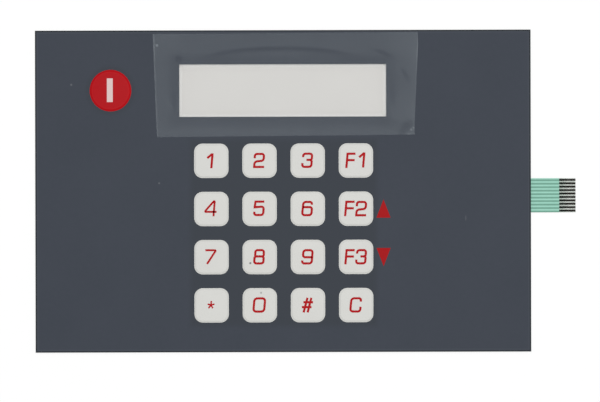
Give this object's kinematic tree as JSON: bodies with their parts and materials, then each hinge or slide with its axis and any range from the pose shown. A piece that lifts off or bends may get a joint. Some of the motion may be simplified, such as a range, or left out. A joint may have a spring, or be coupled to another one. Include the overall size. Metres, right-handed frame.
{
  "type": "membrane keypad",
  "caption": "Flat membrane keypad with embossed keys over snap domes, a clear display window under a peel-off film, and a flat printed tail.",
  "frame": {"origin": "middle of the panel on its back face, the face of the release liner", "axes": "+X right along the panel towards the tail, +Y up the panel, +Z out of the keys"},
  "size_m": [0.1581, 0.0942, 0.0013],
  "materials": {
    "textured_polyester": "fine texture, printed dark grey from behind",
    "peel_off_film": "clear, lightly creased",
    "clear_polyester": "clear gloss",
    "white_polyester": "satin",
    "liner_paper": "silicone-coated paper",
    "adhesive": "transfer adhesive",
    "silver_ink": "printed silver",
    "green_insulation": "printed, semi-gloss",
    "carbon_ink": "printed carbon",
    "spring_steel": "bright rolled"
  },
  "bodies": {
    "root": {"release_liner": "liner_paper", "rear_adhesive": "adhesive", "circuit_film": "clear_polyester", "silver_print": "silver_ink", "dielectric_print": "green_insulation", "silver_jumpers": "silver_ink", "carbon_contacts": "carbon_ink", "tail_stiffener": "white_polyester", "dome_spacer": "white_polyester", "dome_power": "spring_steel", "dome_1": "spring_steel", "dome_2": "spring_steel", "dome_3": "spring_steel", "dome_f1": "spring_steel", "dome_4": "spring_steel", "dome_5": "spring_steel", "dome_6": "spring_steel", "dome_f2": "spring_steel", "dome_7": "spring_steel", "dome_8": "spring_steel", "dome_9": "spring_steel", "dome_f3": "spring_steel", "dome_star": "spring_steel", "dome_0": "spring_steel", "dome_hash": "spring_steel", "dome_c": "spring_steel", "overlay_adhesive": "adhesive", "overlay": "textured_polyester", "protective_film": "peel_off_film"}
  },
  "joints": []
}
